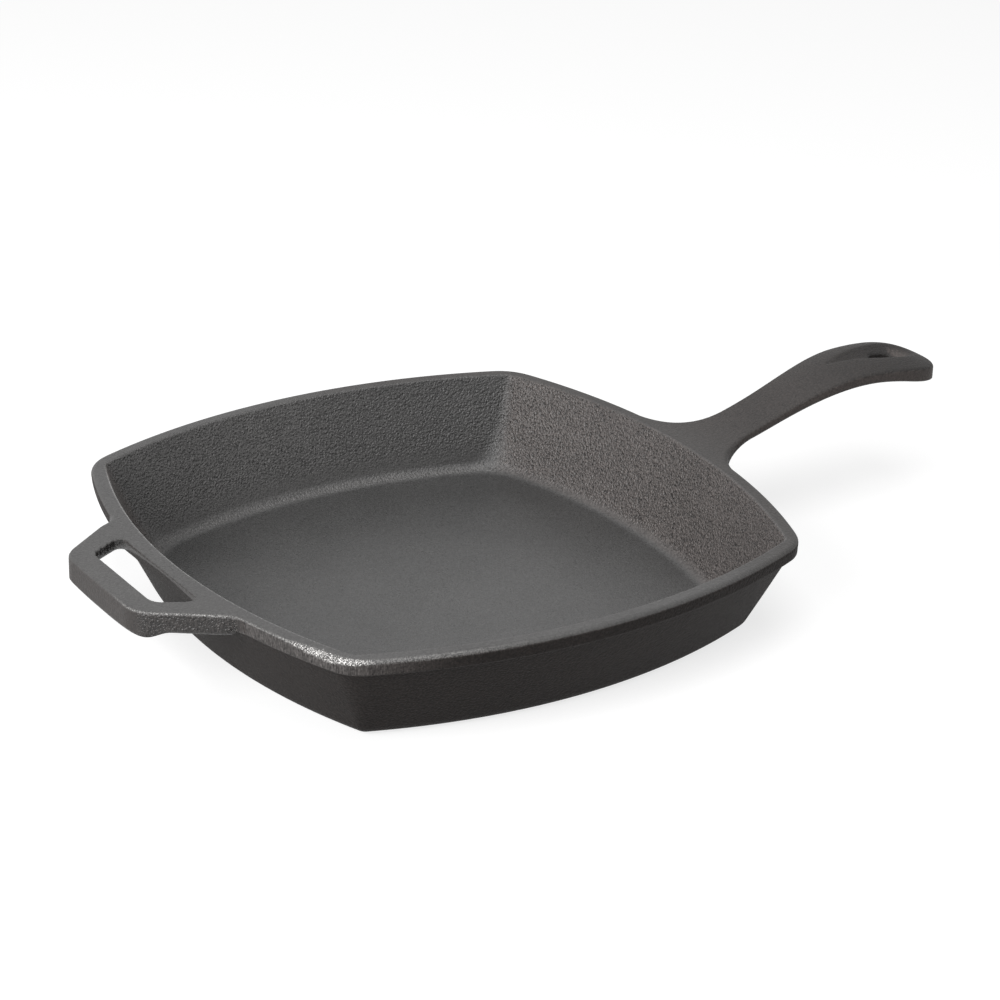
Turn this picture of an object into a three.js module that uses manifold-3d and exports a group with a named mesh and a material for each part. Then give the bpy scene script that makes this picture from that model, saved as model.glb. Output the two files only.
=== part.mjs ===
// Square cast iron frying pan with bowed sides, a long S-shaped handle and a looped helper handle.
// The pan is one sand casting. Its five regions are separate solids that meet on flat planes.
// Millimetres, +Z up, long handle along +X, origin at the centre of the flat underside.
import * as THREE from 'three';
import { mergeVertices } from 'three/addons/utils/BufferGeometryUtils.js';
import Module from 'manifold-3d';

const wasm = await Module();
wasm.setup();

// Bowl
const HEIGHT = 46.5;
const RIM_HALF_WIDTH = 140;
const SIDE_BOW_RADIUS = 291;
const RIM_CORNER_RADIUS = 27;
const BAND_CORNER_RADIUS = 20;
const BASE_CORNER_RADIUS = 4;
const INSIDE_CORNER_RADIUS = 14;
const FLOOR_CORNER_RADIUS = 36;
const WALL_LEAN = THREE.MathUtils.degToRad(26.6);
const WALL_THICKNESS = 5;
const FLOOR_THICKNESS = 4.25;
const BASE_EDGE_RADIUS = 9.25;
const FLOOR_FILLET_RADIUS = 8;

// Rim band
const RIM_WIDTH = 7.1;
const BAND_HEIGHT = 7.5;
const BAND_DRAFT = 0.75;
const RIM_OUTER_ROUNDING = 3;
const RIM_INNER_ROUNDING = 0.4;
const BAND_LOWER_ROUNDING = 1.5;

// Long handle, with lengths measured out from the rim
const HANDLE_LENGTH = 139.4;
const HANDLE_CREST_AT = 94.7;
const HANDLE_CREST_RISE = 20.8;
const HANDLE_TIP_DROOP = 5.3;
const HANDLE_NECK_HALF_WIDTH = 13.4;
const HANDLE_PADDLE_HALF_WIDTH = 20.4;
const HANDLE_WIDENS_FROM = 39;
const HANDLE_NOSE_LENGTH = 22.6;
const NOSE_ROUNDNESS = 2.5;
const NOSE_BLUNTNESS = 4;
const HANDLE_FLARE_RADIUS = 30.5;
const HANDLE_CROWN = 4;
const HANDLE_EDGE_ROUNDING = 1.25;
const HANDLE_ROOT_SIDE = 6;
const HANDLE_NECK_SIDE = 2.3;
const HANDLE_PADDLE_SIDE = 4.1;
const HANDLE_TIP_SIDE = 6.6;
const HANDLE_ROOT_DEPTH = 9;
const HANDLE_DEPTH = 8;
const HANDLE_TIP_DEPTH = 10.5;

// Dished teardrop on the handle and the hanging hole in it
const DISH_FROM = 78;
const DISH_TO = 132;
const DISH_HALF_WIDTH = 9.6;
const DISH_DEPTH = 5.4;
const DISH_TAPER = 0.9;
const DISH_ROUNDNESS = 4;
const HOLE_AT = 114.5;
const HOLE_LENGTH = 14;
const HOLE_WIDTH = 9;

// Helper handle, with lengths measured out from the rim
const HELPER_REACH = 29.5;
const HELPER_OUTER_HALF_WIDTH = 32;
const HELPER_ROOT_HALF_WIDTH = 56.5;
const HELPER_THICKNESS = 10;
const HELPER_GRIP_DEPTH = 15;
const HELPER_GRIP_HALF_LENGTH = 36;
const HELPER_GRIP_BLUNTNESS = 3;
const HELPER_BAR_WIDTH = 11.6;
const HELPER_CORNER_RADIUS = 16;
const HELPER_ROOT_FILLET = 6;
const HELPER_HOLE_OUTER_HALF_WIDTH = 27.4;
const HELPER_HOLE_ROOT_HALF_WIDTH = 36.7;
const HELPER_HOLE_OUTER_RADIUS = 8;
const HELPER_HOLE_ROOT_RADIUS = 3.5;
const HELPER_HOLE_STANDOFF = 0.4;
const HELPER_TOP_ROUNDING = 1.25;
const HELPER_LOWER_ROUNDING = 3;
const HELPER_GRIP_ROUNDING = 5;
const HELPER_HOLE_TOP_ROUNDING = 0.5;
const HELPER_HOLE_LOWER_ROUNDING = 9.5;
const HELPER_SHARPEST_CORNER = 0.6;

// Planes on which the regions meet
const ROOT_STANDOFF = 1.5;
const CUT_MARGIN = 2;

// Finishes
const CAST = { color: 0x4a4746, roughness: 0.7, metalness: 0.6 };
const GROUND = { color: 0x5a5958, roughness: 0.55, metalness: 0.6 };

// Facets
const SIDE_STEPS = 12;
const CORNER_STEPS = 8;
const ROUNDING_STEPS = 3;
const FOOT_STEPS = 6;
const WALL_STEPS = 5;
const OUTLINE_CORNER_STEPS = 6;
const SECTION_STEPS = 6;
const FLARE_STATIONS = 8;
const SHANK_STATIONS = 16;
const NOSE_STATIONS = 9;
const DISH_POINTS = 28;
const DISH_RINGS = 5;
const GRIP_STATIONS = 14;

const { smoothstep, lerp, clamp } = THREE.MathUtils;
const SPAN = 2 * (RIM_HALF_WIDTH + HANDLE_LENGTH + HELPER_REACH);

// Evenly spaced values from one end to the other, both included.
function steps(from, to, count) {
  return Array.from({ length: count + 1 }, (_, i) => lerp(from, to, i / count));
}

// Closed skin through rings of equal point count, capped flat at both ends.
// Rings run counter-clockwise about the direction in which they are stacked.
function skin(rings, flatten) {
  const count = rings[0].length;
  const index = [];
  for (let ring = 0; ring + 1 < rings.length; ring += 1) {
    for (let i = 0; i < count; i += 1) {
      const a = ring * count + i;
      const b = ring * count + ((i + 1) % count);
      index.push(a, b, b + count, a, b + count, a + count);
    }
  }
  const last = (rings.length - 1) * count;
  THREE.ShapeUtils.triangulateShape(rings[0].map(flatten), []).forEach(([a, b, c]) => index.push(c, b, a));
  THREE.ShapeUtils.triangulateShape(rings.at(-1).map(flatten), []).forEach(([a, b, c]) => {
    index.push(last + a, last + b, last + c);
  });
  const geometry = new THREE.BufferGeometry().setFromPoints(rings.flat());
  geometry.setIndex(index);
  return solid(geometry);
}

function solid(geometry) {
  const mesh = new wasm.Mesh({
    numProp: 3,
    vertProperties: new Float32Array(geometry.getAttribute('position').array),
    triVerts: new Uint32Array(geometry.getIndex().array),
  });
  return new wasm.Manifold(mesh);
}

const stackUp = (rings) => skin(rings, (p) => new THREE.Vector2(p.x, p.y));
const stackAlong = (rings) => skin(rings, (p) => new THREE.Vector2(p.y, p.z));
const stackAcross = (rings) => skin(rings, (p) => new THREE.Vector2(p.z, p.x));

function block(min, max) {
  const size = new THREE.Vector3().subVectors(max, min);
  const geometry = new THREE.BoxGeometry(size.x, size.y, size.z);
  geometry.translate((min.x + max.x) / 2, (min.y + max.y) / 2, (min.z + max.z) / 2);
  geometry.deleteAttribute('normal');
  geometry.deleteAttribute('uv');
  return solid(mergeVertices(geometry));
}

// Square with bowed sides and rounded corners. Smaller squares are offsets of the rim's, so the
// bow's radius shrinks with the width. Each corner arc touches both of its side arcs.
function bowedSquare(halfWidth, cornerRadius, z) {
  const bow = SIDE_BOW_RADIUS - (RIM_HALF_WIDTH - halfWidth);
  const bowCentre = halfWidth - bow;
  const corner = (bowCentre + Math.sqrt(2 * (bow - cornerRadius) ** 2 - bowCentre ** 2)) / 2;
  const turn = Math.atan2(corner, corner - bowCentre);
  const side = steps(-turn, turn, SIDE_STEPS).map(
    (a) => new THREE.Vector3(bowCentre + bow * Math.cos(a), bow * Math.sin(a), z),
  );
  const round = steps(turn, Math.PI / 2 - turn, CORNER_STEPS).slice(1, -1).map(
    (a) => new THREE.Vector3(corner + cornerRadius * Math.cos(a), corner + cornerRadius * Math.sin(a), z),
  );
  const zAxis = new THREE.Vector3(0, 0, 1);
  return [0, 1, 2, 3].flatMap(
    (quarter) => [...side, ...round].map((p) => p.clone().applyAxisAngle(zAxis, quarter * (Math.PI / 2))),
  );
}

const outerHalfWidth = (z) => RIM_HALF_WIDTH - (HEIGHT - z) * Math.tan(WALL_LEAN);
const INNER_TOP = RIM_HALF_WIDTH - RIM_WIDTH;
const INNER_FOOT = outerHalfWidth(FLOOR_THICKNESS) - WALL_THICKNESS / Math.cos(WALL_LEAN);
const INNER_SLOPE = (INNER_TOP - INNER_FOOT) / (HEIGHT - FLOOR_THICKNESS);
const innerHalfWidth = (z) => INNER_FOOT + (z - FLOOR_THICKNESS) * INNER_SLOPE;

// Arc in the wall's profile from a level face up to a leaning wall, as half widths and heights.
function footArc(halfWidthAt, lean, radius, level) {
  const centreZ = level + radius;
  const centre = halfWidthAt(centreZ - radius * Math.sin(lean)) - radius * Math.cos(lean);
  return steps(Math.PI / 2, lean, FOOT_STEPS).map(
    (a) => ({ halfWidth: centre + radius * Math.cos(a), z: centreZ - radius * Math.sin(a) }),
  );
}

// Quarter circle as insets and drops from a sharp edge, from the upright face to the level one.
function edgeRounding(radius) {
  return steps(0, Math.PI / 2, ROUNDING_STEPS).map(
    (a) => ({ inset: radius * (1 - Math.cos(a)), drop: radius * (1 - Math.sin(a)) }),
  );
}

// Outside of the bowl, filled: rounded base edge, leaning wall and the rim band over it. The corners
// are tight at the base, rounder at the foot of the band and roundest at its top.
function bowlBody() {
  const foot = footArc(outerHalfWidth, WALL_LEAN, BASE_EDGE_RADIUS, 0);
  const bandFoot = HEIGHT - BAND_HEIGHT;
  const wallTop = { halfWidth: outerHalfWidth(bandFoot), z: bandFoot };
  const flat = foot[0].halfWidth;
  const wall = [...foot, wallTop].map(({ halfWidth, z }) => {
    const share = (halfWidth - flat) / (wallTop.halfWidth - flat);
    return bowedSquare(halfWidth, lerp(BASE_CORNER_RADIUS, BAND_CORNER_RADIUS, share ** 2), z);
  });
  const bandRing = (inset, z) => {
    const cornerRadius = lerp(BAND_CORNER_RADIUS, RIM_CORNER_RADIUS, (z - bandFoot) / BAND_HEIGHT);
    return bowedSquare(RIM_HALF_WIDTH - inset, cornerRadius - inset, z);
  };
  const lower = edgeRounding(BAND_LOWER_ROUNDING).reverse().map(
    (e) => bandRing(BAND_DRAFT + e.inset, bandFoot + e.drop),
  );
  const upper = edgeRounding(RIM_OUTER_ROUNDING).map((e) => bandRing(e.inset, HEIGHT - e.drop));
  return stackUp([...wall, ...lower, ...upper]);
}

// Inside of the bowl: flat floor, fillet, leaning wall and the eased inner edge of the rim. The corners
// are round on the floor and tighten up the wall.
function bowlCavity() {
  const lean = Math.atan(INNER_SLOPE);
  const foot = footArc(innerHalfWidth, lean, FLOOR_FILLET_RADIUS, FLOOR_THICKNESS);
  const lip = edgeRounding(RIM_INNER_ROUNDING).map(
    (e) => ({ halfWidth: innerHalfWidth(HEIGHT - e.drop) + e.inset, z: HEIGHT - e.drop }),
  );
  const mouth = { halfWidth: lip.at(-1).halfWidth, z: HEIGHT + CUT_MARGIN };
  const wall = steps(foot.at(-1).z, lip[0].z, WALL_STEPS).slice(1, -1).map(
    (z) => ({ halfWidth: innerHalfWidth(z), z }),
  );
  return stackUp([...foot, ...wall, ...lip, mouth].map(({ halfWidth, z }) => {
    const share = clamp((z - FLOOR_THICKNESS) / (HEIGHT - FLOOR_THICKNESS), 0, 1);
    const wallRadius = lerp(FLOOR_CORNER_RADIUS, INSIDE_CORNER_RADIUS, Math.sqrt(share));
    return bowedSquare(halfWidth, wallRadius + halfWidth - innerHalfWidth(z), z);
  }));
}

const HANDLE_TIP = RIM_HALF_WIDTH + HANDLE_LENGTH;
const HANDLE_CREST = RIM_HALF_WIDTH + HANDLE_CREST_AT;
const HANDLE_NOSE = HANDLE_TIP - HANDLE_NOSE_LENGTH;

// Each flare is an arc in plan from the neck's side to a point where it touches the rim's bowed side.
const BOW_CENTRE = RIM_HALF_WIDTH - SIDE_BOW_RADIUS;
const FLARE_TO_BOW = SIDE_BOW_RADIUS + HANDLE_FLARE_RADIUS;
const FLARE_RUN = Math.sqrt(FLARE_TO_BOW ** 2 - (HANDLE_NECK_HALF_WIDTH + HANDLE_FLARE_RADIUS) ** 2);
const HANDLE_NECK = BOW_CENTRE + FLARE_RUN;
const FLARE_LENGTH = (HANDLE_FLARE_RADIUS * FLARE_RUN) / FLARE_TO_BOW;

const noseShare = (x) => Math.max(0, (x - HANDLE_NOSE) / HANDLE_NOSE_LENGTH);

// Height of the handle's top edges: flush with the rim, up to the crest, then down to the tip.
function handleEdge(x) {
  const climb = HANDLE_CREST_RISE * smoothstep(x, RIM_HALF_WIDTH, HANDLE_CREST);
  const past = Math.max(0, (x - HANDLE_CREST) / (HANDLE_TIP - HANDLE_CREST));
  return HEIGHT + climb - HANDLE_TIP_DROOP * past ** 2;
}

// Half chord at x of an arc about the flare's centre.
const flareArc = (x, radius) => Math.sqrt(radius ** 2 - clamp(HANDLE_NECK - x, 0, FLARE_LENGTH) ** 2);

// Half width in plan: flare out of the rim, neck, paddle and rounded nose.
function handleHalfWidth(x) {
  const flare = HANDLE_FLARE_RADIUS - flareArc(x, HANDLE_FLARE_RADIUS);
  const widening = smoothstep(x, RIM_HALF_WIDTH + HANDLE_WIDENS_FROM, HANDLE_NOSE + HANDLE_NOSE_LENGTH / 2);
  const shank = lerp(HANDLE_NECK_HALF_WIDTH, HANDLE_PADDLE_HALF_WIDTH, widening);
  return (shank + flare) * (1 - noseShare(x) ** NOSE_ROUNDNESS) ** (1 / NOSE_ROUNDNESS);
}

const handleCrown = (x) => HANDLE_CROWN * smoothstep(x, HANDLE_NECK, HANDLE_CREST);

// Top surface between the edges: level at the rim, crowned across on the paddle.
function handleTop(x, y) {
  const across = Math.min(1, Math.abs(y) / handleHalfWidth(x));
  return handleEdge(x) + handleCrown(x) * (1 - across ** 2);
}

// Section across the handle, counter-clockwise seen from the tip: round belly, side, eased edge, crown.
// The easing starts as the rim's own and narrows to the neck.
function handleSection(x) {
  const half = handleHalfWidth(x);
  const toNeck = smoothstep(x, RIM_HALF_WIDTH, HANDLE_NECK);
  const toPaddle = smoothstep(x, HANDLE_NECK, HANDLE_CREST);
  const toTip = smoothstep(x, HANDLE_CREST, HANDLE_TIP);
  const shankSide = lerp(lerp(HANDLE_ROOT_SIDE, HANDLE_NECK_SIDE, toNeck), HANDLE_PADDLE_SIDE, toPaddle);
  const side = lerp(shankSide, HANDLE_TIP_SIDE, toTip);
  const depth = lerp(lerp(HANDLE_ROOT_DEPTH, HANDLE_DEPTH, toNeck), HANDLE_TIP_DEPTH, toTip);
  const rounding = Math.min(lerp(RIM_OUTER_ROUNDING, HANDLE_EDGE_ROUNDING, toNeck), half / 2);
  const eased = (inset) => half - flareArc(x, HANDLE_FLARE_RADIUS + inset) + flareArc(x, HANDLE_FLARE_RADIUS);
  const belly = steps(0, Math.PI / 2, SECTION_STEPS).map(
    (a) => [half * Math.sin(a), -side - (depth - side) * Math.cos(a)],
  );
  const edge = edgeRounding(rounding).map((e) => [eased(e.inset), -e.drop]);
  const crown = steps(1, 0, SECTION_STEPS).slice(1).map(
    (share) => [eased(rounding) * share, handleCrown(x) * (1 - share ** 2)],
  );
  const right = [...belly, ...edge, ...crown];
  const left = right.slice(1, -1).reverse().map(([y, z]) => [-y, z]);
  const closing = (1 - noseShare(x) ** NOSE_BLUNTNESS) ** (1 / NOSE_BLUNTNESS);
  const middle = -side;
  return [...right, ...left].map(
    ([y, z]) => new THREE.Vector3(x, y, handleEdge(x) + middle + (z - middle) * closing),
  );
}

function handleBody() {
  const touch = Math.acos(FLARE_LENGTH / HANDLE_FLARE_RADIUS);
  const flare = steps(touch, Math.PI / 2, FLARE_STATIONS).map(
    (a) => HANDLE_NECK - HANDLE_FLARE_RADIUS * Math.cos(a),
  );
  const shank = steps(HANDLE_NECK, HANDLE_NOSE, SHANK_STATIONS).slice(1);
  const nose = steps(0, Math.PI / 2, NOSE_STATIONS).slice(1, -1).map(
    (a) => HANDLE_NOSE + HANDLE_NOSE_LENGTH * Math.sin(a),
  );
  const stations = [flare[0] - RIM_WIDTH, ...flare, ...shank, ...nose];
  return stackAlong(stations.map(handleSection));
}

const swell = (s) => s ** DISH_TAPER * Math.sqrt(1 - s ** DISH_ROUNDNESS);
const DISH_WIDEST = ((2 * DISH_TAPER) / (2 * DISH_TAPER + DISH_ROUNDNESS)) ** (1 / DISH_ROUNDNESS);

// Teardrop in plan, pointed toward the bowl and round toward the tip, shrunk about its deepest point.
function teardrop(share) {
  const length = DISH_TO - DISH_FROM;
  const deepest = RIM_HALF_WIDTH + HOLE_AT;
  return steps(0, 2 * Math.PI, DISH_POINTS).slice(0, -1).map((a) => {
    const s = (1 + Math.cos(a)) / 2;
    const x = RIM_HALF_WIDTH + DISH_FROM + s * length;
    const half = (DISH_HALF_WIDTH * swell(s)) / swell(DISH_WIDEST);
    return new THREE.Vector2(lerp(deepest, x, share), Math.sign(Math.sin(a)) * half * share);
  });
}

// Dished hollow that follows the handle's crown, open above.
function dishHollow() {
  const ring = (share, lift) => teardrop(share).map(
    (p) => new THREE.Vector3(p.x, p.y, handleTop(p.x, p.y) + lift),
  );
  const bowl = steps(1 / DISH_RINGS, 1, DISH_RINGS - 1).map(
    (share) => ring(share, DISH_DEPTH * (share ** 2 - 1)),
  );
  const above = ring(1, 0).map((p) => p.setZ(HEIGHT + HANDLE_CREST_RISE + HANDLE_CROWN + CUT_MARGIN));
  return stackUp([...bowl, above]);
}

// Upright oval hole right through the handle, at the bottom of the dish.
function hangingHole() {
  const straight = (HOLE_LENGTH - HOLE_WIDTH) / 2;
  const outline = new THREE.Shape();
  outline.absarc(straight, 0, HOLE_WIDTH / 2, -Math.PI / 2, Math.PI / 2);
  outline.absarc(-straight, 0, HOLE_WIDTH / 2, Math.PI / 2, 1.5 * Math.PI);
  const points = outline.getPoints(SECTION_STEPS).slice(0, -1);
  return stackUp([0, HEIGHT + HANDLE_CREST_RISE + HANDLE_CROWN + CUT_MARGIN].map(
    (z) => points.map((p) => new THREE.Vector3(RIM_HALF_WIDTH + HOLE_AT + p.x, p.y, z)),
  ));
}

// Polygon with each corner rounded and each edge moved inward by the inset, counter-clockwise.
function roundedPolygon(corners, inset, z) {
  const count = corners.length;
  const edges = corners.map((corner, i) => {
    const direction = new THREE.Vector2().subVectors(corners[(i + 1) % count].at, corner.at).normalize();
    const inward = new THREE.Vector2(-direction.y, direction.x);
    return { start: corner.at.clone().addScaledVector(inward, inset), direction, inward };
  });
  return corners.flatMap((corner, i) => {
    const before = edges[(i + count - 1) % count];
    const after = edges[i];
    const bend = before.direction.cross(after.direction);
    const along = new THREE.Vector2().subVectors(after.start, before.start).cross(after.direction) / bend;
    const meet = before.start.clone().addScaledVector(before.direction, along);
    const radius = Math.max(corner.radius - Math.sign(bend) * inset, HELPER_SHARPEST_CORNER);
    const middle = new THREE.Vector2().addVectors(before.inward, after.inward).normalize();
    const reach = (Math.sign(bend) * radius) / middle.dot(after.inward);
    const centre = meet.clone().addScaledVector(middle, reach);
    const from = before.inward.angle() + (bend > 0 ? Math.PI : 0);
    const turn = Math.atan2(bend, before.direction.dot(after.direction));
    return steps(from, from + turn, OUTLINE_CORNER_STEPS).map(
      (a) => new THREE.Vector3(centre.x + radius * Math.cos(a), centre.y + radius * Math.sin(a), z),
    );
  });
}

const mirrored = (corners) => [...corners, ...corners.toReversed().map(
  ({ at, radius }) => ({ at: new THREE.Vector2(at.x, -at.y), radius }),
)];

// How far the bowed side lies inside its middle at a distance y along it.
const bowDrop = (y) => SIDE_BOW_RADIUS - Math.sqrt(SIDE_BOW_RADIUS ** 2 - y ** 2);

// Plan of the helper handle: two slanted side bars from the rim to a straight outer bar.
const HELPER_OUTER = -(RIM_HALF_WIDTH + HELPER_REACH);
const HELPER_ROOT = bowDrop(HELPER_ROOT_HALF_WIDTH) - RIM_HALF_WIDTH;
const HELPER_BURIED_HALF_WIDTH = HELPER_ROOT_HALF_WIDTH + 2 * HELPER_ROOT_FILLET;
const HELPER_BURIED = bowDrop(HELPER_BURIED_HALF_WIDTH) - RIM_HALF_WIDTH + RIM_WIDTH / 2;

function helperOutline() {
  return mirrored([
    { at: new THREE.Vector2(HELPER_BURIED, HELPER_BURIED_HALF_WIDTH), radius: HELPER_LOWER_ROUNDING },
    { at: new THREE.Vector2(HELPER_ROOT, HELPER_ROOT_HALF_WIDTH), radius: HELPER_ROOT_FILLET },
    { at: new THREE.Vector2(HELPER_OUTER, HELPER_OUTER_HALF_WIDTH), radius: HELPER_CORNER_RADIUS },
  ]);
}

const HOLE_OUTER = HELPER_OUTER + HELPER_BAR_WIDTH;
const HOLE_ROOT = -(RIM_HALF_WIDTH + HELPER_HOLE_STANDOFF);
const HOLE_SPREAD = (HELPER_HOLE_ROOT_HALF_WIDTH - HELPER_HOLE_OUTER_HALF_WIDTH) / (HOLE_ROOT - HOLE_OUTER);
const HELPER_UNDERSIDE = HEIGHT - HELPER_THICKNESS;
const GRIP_UNDERSIDE = HEIGHT - HELPER_GRIP_DEPTH;

// Finger opening at a height z. Downward it widens under the side bars and the outer bar, and on the
// bowl's side it follows the leaning wall, so that the rim band is cut away inside it.
function helperHole(inset, z) {
  const side = lowerInset(HELPER_HOLE_LOWER_ROUNDING, HELPER_UNDERSIDE, z);
  const outer = HOLE_OUTER - lowerInset(HELPER_GRIP_ROUNDING, GRIP_UNDERSIDE, z);
  const root = HOLE_ROOT + Math.max(0, HEIGHT - z) * Math.tan(WALL_LEAN);
  const halfWidth = (x) => HELPER_HOLE_OUTER_HALF_WIDTH + (x - HOLE_OUTER) * HOLE_SPREAD + side;
  return roundedPolygon(mirrored([
    { at: new THREE.Vector2(root, halfWidth(root)), radius: HELPER_HOLE_ROOT_RADIUS },
    { at: new THREE.Vector2(outer, halfWidth(outer)), radius: HELPER_HOLE_OUTER_RADIUS },
  ]), inset, z);
}

// How far a rounded lower edge has drawn in at a height z.
function lowerInset(radius, underside, z) {
  const below = clamp(underside + radius - z, 0, radius);
  return radius - Math.sqrt(radius ** 2 - below ** 2);
}

const lowerLevels = (radius, underside) => edgeRounding(radius).map((e) => underside + e.drop);

function helperOpening() {
  const lower = [
    ...lowerLevels(HELPER_GRIP_ROUNDING, GRIP_UNDERSIDE),
    ...lowerLevels(HELPER_HOLE_LOWER_ROUNDING, HELPER_UNDERSIDE),
    GRIP_UNDERSIDE - CUT_MARGIN,
  ].sort((a, b) => a - b).map((z) => helperHole(0, z));
  const upper = edgeRounding(HELPER_HOLE_TOP_ROUNDING).map((e) => helperHole(-e.inset, HEIGHT - e.drop));
  const above = upper.at(-1).map((p) => p.clone().setZ(HEIGHT + CUT_MARGIN));
  return stackUp([...lower, ...upper, above]);
}

// Deeper underside of the outer bar: half an oval across, closing in toward both ends, within the plan.
function helperGrip() {
  const middle = HELPER_OUTER + HELPER_BAR_WIDTH / 2;
  const top = HELPER_UNDERSIDE + HELPER_LOWER_ROUNDING;
  const bar = steps(-Math.PI / 2, Math.PI / 2, GRIP_STATIONS).slice(1, -1).map((turn) => {
    const y = HELPER_GRIP_HALF_LENGTH * Math.sin(turn);
    const size = (1 - Math.abs(Math.sin(turn)) ** HELPER_GRIP_BLUNTNESS) ** (1 / HELPER_GRIP_BLUNTNESS);
    return steps(0, Math.PI, 2 * SECTION_STEPS).map((a) => new THREE.Vector3(
      middle + (HELPER_BAR_WIDTH / 2) * size * Math.cos(a),
      y,
      top - (top - GRIP_UNDERSIDE) * size * Math.sin(a),
    ));
  });
  const plan = [GRIP_UNDERSIDE - CUT_MARGIN, HEIGHT].map((z) => roundedPolygon(helperOutline(), 0, z));
  return stackAcross(bar).intersect(stackUp(plan));
}

// Flat plate with eased top edges and rounder lower ones, deeper along its outer bar. The finger opening
// is cut after it has been joined to the bowl.
function helperBody() {
  const lower = edgeRounding(HELPER_LOWER_ROUNDING).reverse().map(
    (e) => roundedPolygon(helperOutline(), e.inset, HELPER_UNDERSIDE + e.drop),
  );
  const upper = edgeRounding(HELPER_TOP_ROUNDING).map(
    (e) => roundedPolygon(helperOutline(), e.inset, HEIGHT - e.drop),
  );
  return stackUp([...lower, ...upper]).add(helperGrip());
}

// The whole casting
const cavity = bowlCavity();
const longHandle = handleBody().subtract(dishHollow()).subtract(hangingHole());
const casting = bowlBody().add(longHandle).add(helperBody()).subtract(helperOpening()).subtract(cavity);

// Meeting planes: above the base edge and floor fillet, below the handle roots, and just off the rim
const FOOT_PLANE = Math.max(BASE_EDGE_RADIUS, FLOOR_THICKNESS + FLOOR_FILLET_RADIUS);
const RIM_PLANE = HEIGHT - Math.max(BAND_HEIGHT, HANDLE_ROOT_DEPTH, HELPER_GRIP_DEPTH) - CUT_MARGIN;
const ROOT_PLANE = RIM_HALF_WIDTH + ROOT_STANDOFF;

function region(minX, maxX, minZ, maxZ) {
  const min = new THREE.Vector3(minX, -SPAN, minZ);
  const max = new THREE.Vector3(maxX, SPAN, maxZ);
  return casting.intersect(block(min, max));
}

function meshOf(name, shape, finish) {
  const { vertProperties, triVerts } = shape.getMesh();
  const geometry = new THREE.BufferGeometry();
  geometry.setAttribute('position', new THREE.BufferAttribute(vertProperties, 3));
  geometry.setIndex(new THREE.BufferAttribute(triVerts, 1));
  geometry.computeVertexNormals();
  const mesh = new THREE.Mesh(geometry, new THREE.MeshStandardMaterial(finish));
  mesh.name = name;
  return mesh;
}

const pan = new THREE.Group();
pan.add(meshOf('pan_floor', region(-SPAN, SPAN, -CUT_MARGIN, FOOT_PLANE), GROUND));
pan.add(meshOf('side_wall', region(-SPAN, SPAN, FOOT_PLANE, RIM_PLANE), CAST));
pan.add(meshOf('rim', region(-ROOT_PLANE, ROOT_PLANE, RIM_PLANE, SPAN), GROUND));
pan.add(meshOf('long_handle', region(ROOT_PLANE, SPAN, RIM_PLANE, SPAN), CAST));
pan.add(meshOf('helper_handle', region(-SPAN, -ROOT_PLANE, RIM_PLANE, SPAN), GROUND));

export default pan;
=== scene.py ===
"""Square cast iron frying pan with bowed sides, an S-shaped long handle and a looped helper handle.

The pan is one casting. Its skin is an implicit surface, in millimetres, with the sizes of the CAD solids
and the soft blends of a sand casting. It is meshed region by region, and the regions meet on flat planes.
"""
import math

import bmesh
import bpy
import numpy as np
from mathutils import Matrix, Vector


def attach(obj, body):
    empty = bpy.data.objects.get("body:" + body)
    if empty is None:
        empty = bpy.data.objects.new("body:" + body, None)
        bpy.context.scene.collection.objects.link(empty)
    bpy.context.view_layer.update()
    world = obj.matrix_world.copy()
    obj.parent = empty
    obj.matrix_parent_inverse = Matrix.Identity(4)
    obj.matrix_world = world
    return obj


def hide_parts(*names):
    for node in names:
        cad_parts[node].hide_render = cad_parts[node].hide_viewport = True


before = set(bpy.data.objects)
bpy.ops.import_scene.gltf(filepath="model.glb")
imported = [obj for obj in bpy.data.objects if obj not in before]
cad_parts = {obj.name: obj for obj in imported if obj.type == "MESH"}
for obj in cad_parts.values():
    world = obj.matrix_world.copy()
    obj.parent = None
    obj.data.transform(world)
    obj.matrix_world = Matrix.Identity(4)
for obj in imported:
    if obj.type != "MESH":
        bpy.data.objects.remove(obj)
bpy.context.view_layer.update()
MM = 0.001

# Bowl, in millimetres
HEIGHT = 46.5
RIM_HALF_WIDTH = 140.0
SIDE_BOW_RADIUS = 291.0
RIM_CORNER_RADIUS = 27.0
BAND_CORNER_RADIUS = 20.0
BASE_CORNER_RADIUS = 4.0
INSIDE_CORNER_RADIUS = 5.0
FLOOR_CORNER_RADIUS = 36.0
CORNER_TIGHTENING = 0.28
WALL_LEAN = math.radians(26.6)
WALL_THICKNESS = 5.0
FLOOR_THICKNESS = 4.25
BASE_EDGE_RADIUS = 9.25
FLOOR_FILLET_RADIUS = 8.0

# Rim band
RIM_WIDTH = 7.1
BAND_HEIGHT = 7.5
BAND_DRAFT = 0.75
RIM_OUTER_ROUNDING = 3.0
RIM_INNER_ROUNDING = 0.5
BAND_LOWER_ROUNDING = 1.5
BAND_BLEND = 1.5

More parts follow.
